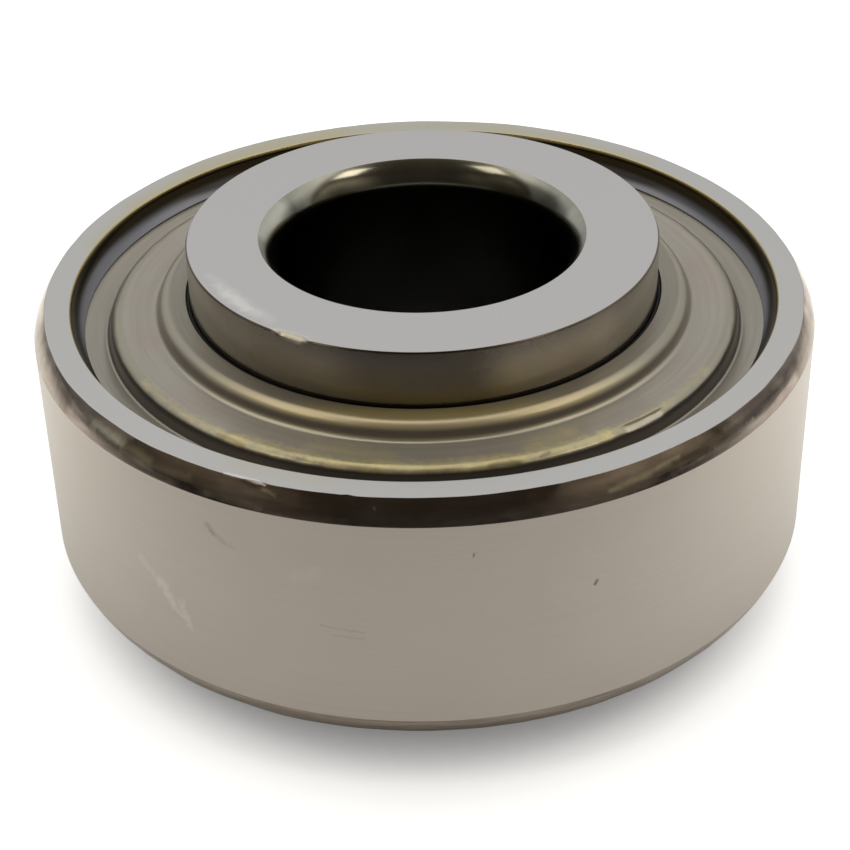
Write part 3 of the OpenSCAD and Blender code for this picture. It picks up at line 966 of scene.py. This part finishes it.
def ballTree():  # a smooth ball set at its place on the pitch circle
    tree = bpy.data.node_groups.new("ballOnPitchCircle", "GeometryNodeTree")
    for name, kind in (("Radius", "NodeSocketFloat"), ("Subdivisions", "NodeSocketInt"),
                       ("Place", "NodeSocketVector"), ("Finish", "NodeSocketMaterial")):
        tree.interface.new_socket(name, in_out="INPUT", socket_type=kind)
    tree.interface.new_socket("Geometry", in_out="OUTPUT", socket_type="NodeSocketGeometry")
    sizes = tree.nodes.new("NodeGroupInput").outputs
    sphere = addNode(tree, "GeometryNodeMeshIcoSphere", Radius=sizes["Radius"],
                     Subdivisions=sizes["Subdivisions"])
    placed = addNode(tree, "GeometryNodeTransform", Geometry=sphere.outputs["Mesh"],
                     Translation=sizes["Place"])
    smooth = addNode(tree, "GeometryNodeSetShadeSmooth", Geometry=placed.outputs["Geometry"])
    real = addNode(tree, "GeometryNodeRealizeInstances", Geometry=smooth.outputs["Geometry"])
    finish = addNode(tree, "GeometryNodeSetMaterial", Geometry=real.outputs["Geometry"],
                     Material=sizes["Finish"])
    tree.links.new(finish.outputs["Geometry"], tree.nodes.new("NodeGroupOutput").inputs["Geometry"])
    return tree


def rivetTree():  # one turned rivet, repeated round the pitch circle halfway between the balls
    tree = bpy.data.node_groups.new("rivetsOnPitchCircle", "GeometryNodeTree")
    for name, kind in (("Rivet", "NodeSocketGeometry"), ("Count", "NodeSocketInt"),
                       ("Pitch radius", "NodeSocketFloat"), ("First angle", "NodeSocketFloat"),
                       ("Finish", "NodeSocketMaterial")):
        tree.interface.new_socket(name, in_out="INPUT", socket_type=kind)
    tree.interface.new_socket("Geometry", in_out="OUTPUT", socket_type="NodeSocketGeometry")
    sizes = tree.nodes.new("NodeGroupInput").outputs
    circle = addNode(tree, "GeometryNodeMeshCircle", Vertices=sizes["Count"], Radius=sizes["Pitch radius"])
    turn = addNode(tree, "ShaderNodeCombineXYZ", X=0.0, Y=0.0, Z=sizes["First angle"])
    turned = addNode(tree, "GeometryNodeTransform", Geometry=circle.outputs["Mesh"],
                     Rotation=turn.outputs["Vector"])
    rivets = addNode(tree, "GeometryNodeInstanceOnPoints", Points=turned.outputs["Geometry"],
                     Instance=sizes["Rivet"])
    real = addNode(tree, "GeometryNodeRealizeInstances", Geometry=rivets.outputs["Instances"])
    smooth = addNode(tree, "GeometryNodeSetShadeSmooth", Geometry=real.outputs["Geometry"])
    finish = addNode(tree, "GeometryNodeSetMaterial", Geometry=smooth.outputs["Geometry"],
                     Material=sizes["Finish"])
    tree.links.new(finish.outputs["Geometry"], tree.nodes.new("NodeGroupOutput").inputs["Geometry"])
    return tree


def rivetMesh(v):  # a turned rivet with a domed head at both ends, its poles closed
    head, height, seat = v["rivetHeadRadius"], v["rivetHeadHeight"], v["cageSheet"]
    domeRadius = (head ** 2 + height ** 2) / (2 * height)
    steps = 6
    half = math.asin(head / domeRadius)
    dome = [(domeRadius * math.sin(half * i / steps), seat + height - domeRadius
             + domeRadius * math.cos(half * i / steps)) for i in range(1, steps + 1)]
    upper = dome + [(v["rivetRadius"], seat)]
    profile = upper + [(r, -z) for r, z in reversed(upper)]
    builder = bmesh.new()
    rings = []
    for r, z in profile:
        rings.append([builder.verts.new(polar(360 * i / v["rivetSegments"], r, z))
                      for i in range(v["rivetSegments"])])
    for upperRing, lowerRing in zip(rings, rings[1:]):
        for i in range(v["rivetSegments"]):
            builder.faces.new((upperRing[i - 1], lowerRing[i - 1], lowerRing[i], upperRing[i]))
    for ring, z in ((rings[0], seat + height), (rings[-1], -seat - height)):
        pole = builder.verts.new((0, 0, z * mm))
        for i in range(v["rivetSegments"]):
            builder.faces.new((ring[i - 1], ring[i], pole) if z > 0 else (ring[i], ring[i - 1], pole))
    mesh = bpy.data.meshes.new("rivet")
    builder.to_mesh(mesh)
    builder.free()
    return mesh


def ballSteel():
    material, tree, shader, facts = newFinish("lappedBallSteel")
    shader.inputs["Metallic"].default_value = 1.0
    cloud = noiseValue(tree, facts["place"], 0.6, 3.0)
    scratch = noiseValue(tree, facts["place"], 12.0, 4.0)
    colour = mixed(tree, cloud, (0.70, 0.70, 0.71), (0.77, 0.77, 0.78))
    finishSurface(tree, shader, colour, fade(tree, scratch, 0.4, 0.8, 0.06, 0.14),
                  calc(tree, "MULTIPLY", scratch, 0.0003))
    return material


def makeBallTrain(v):
    tree = ballTree()
    finish = ballSteel()
    for joint in rollJoints:
        node = joint["child"].replace("_body", "")
        empty = bpy.data.meshes.new("ball")
        piece = appliedNodes(node.replace("_", ""), empty, tree, {
            "Radius": ballRadius * mm, "Subdivisions": v["subdivisions"], "Place": joint["pos_m"],
            "Finish": finish})
        dressed(piece, joint["child"], node)
    count = len(rollJoints)
    rivets = appliedNodes("cageRivets", rivetMesh(v), rivetTree(), {
        "Count": count, "Pitch radius": pitchRadius * mm, "First angle": math.pi / count,
        "Finish": plainSheetSteel("softRivetSteel", (0.50, 0.46, 0.40), (0.57, 0.53, 0.47))})
    dressed(rivets, "cage", "cage_rivets")
    cageFinish = plainSheetSteel("oiledCageSteel", (0.44, 0.41, 0.37), (0.53, 0.50, 0.45))
    for node in ("cage_upper_half", "cage_lower_half"):
        for slot in bpy.data.objects[node].material_slots:
            slot.material = cageFinish
    print("balls, cage and rivets made")


makeBallTrain(ballTrain)


# Floor, room and lamps

floorSheet = {
    "size": 1.2,  # metres
    "white": 0.85,  # light of its own that the camera sees
    "shade": 30.0,  # how far from the object its own light fades
    "frontLight": 0.14,  # its own light in reflections, before the object
    "frontStart": -50.0,
    "frontEnd": 40.0,
    "backLight": 0.92,  # and behind it
    "sideSlope": 0.12,  # how much the left is darker than the right
    "darkStart": -115.0,  # before this the floor's colour and its own light are painted dark
    "darkEnd": -55.0,
    # beyond farStart the floor's colour and its own light are painted darker, down to farLight
    "farStart": 50.0,
    "farEnd": 190.0,
    "farLight": 0.25,
}


def makeFloor(v):
    size = v["size"]
    bottom = -endHeight * mm
    mesh = bpy.data.meshes.new("floor")
    mesh.from_pydata([(-size, -size, bottom), (size, -size, bottom), (size, size, bottom), (-size, size, bottom)],
                     [], [(0, 1, 2, 3)])
    floor = bpy.data.objects.new("floor", mesh)
    scene.collection.objects.link(floor)
    material = bpy.data.materials.new("paleFloor")
    material.use_nodes = True
    tree = material.node_tree
    tree.nodes.clear()
    facts = surfaceFacts(tree)
    parts = addNode(tree, "ShaderNodeSeparateXYZ", Vector=facts["place"]).outputs
    depthways = calc(tree, "MULTIPLY_ADD", parts["X"], v["sideSlope"], parts["Y"])
    # painted shade: darkens the floor's colour and its own light far away and before the object
    reach = calc(tree, "MULTIPLY", fade(tree, facts["radius"], v["farStart"], v["farEnd"], 1.0, v["farLight"]),
                 fade(tree, parts["Y"], v["darkStart"], v["darkEnd"], 0.04, 1.0))
    paper = addNode(tree, "ShaderNodeBsdfDiffuse", Color=mixed(tree, reach, (0.0, 0.0, 0.0), (0.82, 0.82, 0.81)))
    shade = addNode(tree, "ShaderNodeAmbientOcclusion", {"samples": 8}, Distance=v["shade"] * mm).outputs["AO"]
    glow = fade(tree, depthways, v["frontStart"], v["frontEnd"], v["frontLight"], v["backLight"])
    glow = calc(tree, "MULTIPLY", calc(tree, "MULTIPLY", glow, reach), fade(tree, shade, 0.12, 0.85))
    path = addNode(tree, "ShaderNodeLightPath").outputs
    seen = calc(tree, "MULTIPLY_ADD", calc(tree, "SUBTRACT", 1.0, reach), 0.6, v["white"])
    seen = calc(tree, "MULTIPLY", seen, fade(tree, shade, 0.0, 0.75, 0.1, 1.0))
    inMirror = calc(tree, "MAXIMUM", path["Is Glossy Ray"], path["Is Transmission Ray"])
    light = calc(tree, "MAXIMUM", calc(tree, "MULTIPLY", path["Is Camera Ray"], seen),
                 calc(tree, "MULTIPLY", inMirror, glow))
    lit = addNode(tree, "ShaderNodeEmission", Strength=light)
    both = addNode(tree, "ShaderNodeAddShader")
    tree.links.new(paper.outputs["BSDF"], both.inputs[0])
    tree.links.new(lit.outputs["Emission"], both.inputs[1])
    addNode(tree, "ShaderNodeOutputMaterial", Surface=both.outputs["Shader"])
    mesh.materials.append(material)


makeFloor(floorSheet)

room = {
    # light by angle in degrees, from the horizon behind the object, over the top, to the one before it
    "arch": [
        (0, (0.45, 0.45, 0.45)),
        (18, (0.62, 0.62, 0.62)),
        (33, (0.69, 0.69, 0.685)),
        (50, (0.78, 0.78, 0.77)),
        (72, (1.1, 1.07, 1.03)),
        (84, (1.1, 1.05, 0.98)),
        (93, (0.27, 0.25, 0.21)),
        (102, (0.07, 0.06, 0.04)),
        (140, (0.045, 0.038, 0.03)),
        (180, (0.04, 0.035, 0.03)),
    ],
    # towards the left and right horizons the room falls to sideLight of its brightness
    "left": (0.68, 0.88),
    "right": (0.75, 0.97),
    "sideLight": 0.3,
    "frontGlow": (0.17, 0.3),  # light on the left and on the right before the object
    "frontGlowTint": (1.0, 0.88, 0.68),
}


def makeRoom(v):
    world = bpy.data.worlds.new("studioRoom")
    world.use_nodes = True
    scene.world = world
    tree = world.node_tree
    tree.nodes.clear()
    direction = addNode(tree, "ShaderNodeTexCoord").outputs["Generated"]
    parts = addNode(tree, "ShaderNodeSeparateXYZ", Vector=direction).outputs
    angle = calc(tree, "DIVIDE", calc(tree, "ARCTAN2", parts["Z"], parts["Y"]), math.pi)
    ramp = addNode(tree, "ShaderNodeValToRGB", Fac=angle)
    ramp.color_ramp.interpolation = "EASE"
    stops = ramp.color_ramp.elements
    while len(stops) < len(v["arch"]):
        stops.new(0.5)
    for stop, (degrees, light) in zip(stops, v["arch"]):
        stop.position = degrees / 180
        stop.color = (*light, 1)
    leftward = calc(tree, "MULTIPLY", parts["X"], -1.0)
    side = calc(tree, "MULTIPLY", fade(tree, leftward, *v["left"], 1.0, v["sideLight"]),
                fade(tree, parts["X"], *v["right"], 1.0, v["sideLight"]))
    overhead = vectorCalc(tree, "SCALE", ramp.outputs["Color"])
    plug(tree, overhead.node.inputs["Scale"], side)
    left, right = v["frontGlow"]
    glow = calc(tree, "ADD", fade(tree, leftward, 0.4, 0.8, 0.0, left),
                fade(tree, parts["X"], 0.42, 0.8, 0.0, right))
    glow = calc(tree, "MULTIPLY", glow, fade(tree, angle, 95 / 180, 115 / 180))
    glow = calc(tree, "MULTIPLY", glow, fade(tree, parts["Z"], 0.15, 0.5, 0.45, 1.0))
    glow = calc(tree, "MULTIPLY", glow, fade(tree, parts["Z"], 0.54, 0.68, 1.0, 0.1))
    before = vectorCalc(tree, "SCALE", v["frontGlowTint"])
    plug(tree, before.node.inputs["Scale"], glow)
    colour = mixed(tree, addNode(tree, "ShaderNodeLightPath").outputs["Is Camera Ray"],
                   vectorCalc(tree, "ADD", overhead, before), (1.0, 1.0, 1.0))
    background = addNode(tree, "ShaderNodeBackground", Color=colour, Strength=1.0)
    addNode(tree, "ShaderNodeOutputWorld", Surface=background.outputs["Background"])


makeRoom(room)

lamps = {
    # azimuth in degrees from +X towards the back, elevation, distance and size in metres, watts, colour
    "leftBox": (200, 55, 0.6, 0.15, 0.16, (1.0, 0.93, 0.78)),
    "rightBox": (-20, 55, 0.6, 0.15, 0.18, (1.0, 0.93, 0.78)),
}


def makeLamps(v):
    for name, (azimuth, elevation, distance, size, watts, colour) in v.items():
        data = bpy.data.lights.new(name, "AREA")
        data.size = size
        data.energy = watts
        data.color = colour
        lamp = bpy.data.objects.new(name, data)
        scene.collection.objects.link(lamp)
        lift, turn = math.radians(elevation), math.radians(azimuth)
        lamp.location = distance * Vector((math.cos(turn) * math.cos(lift), math.sin(turn) * math.cos(lift),
                                           math.sin(lift)))
        lamp.rotation_euler = lamp.location.to_track_quat("Z", "Y").to_euler()


makeLamps(lamps)
print("floor, room and lamps made")
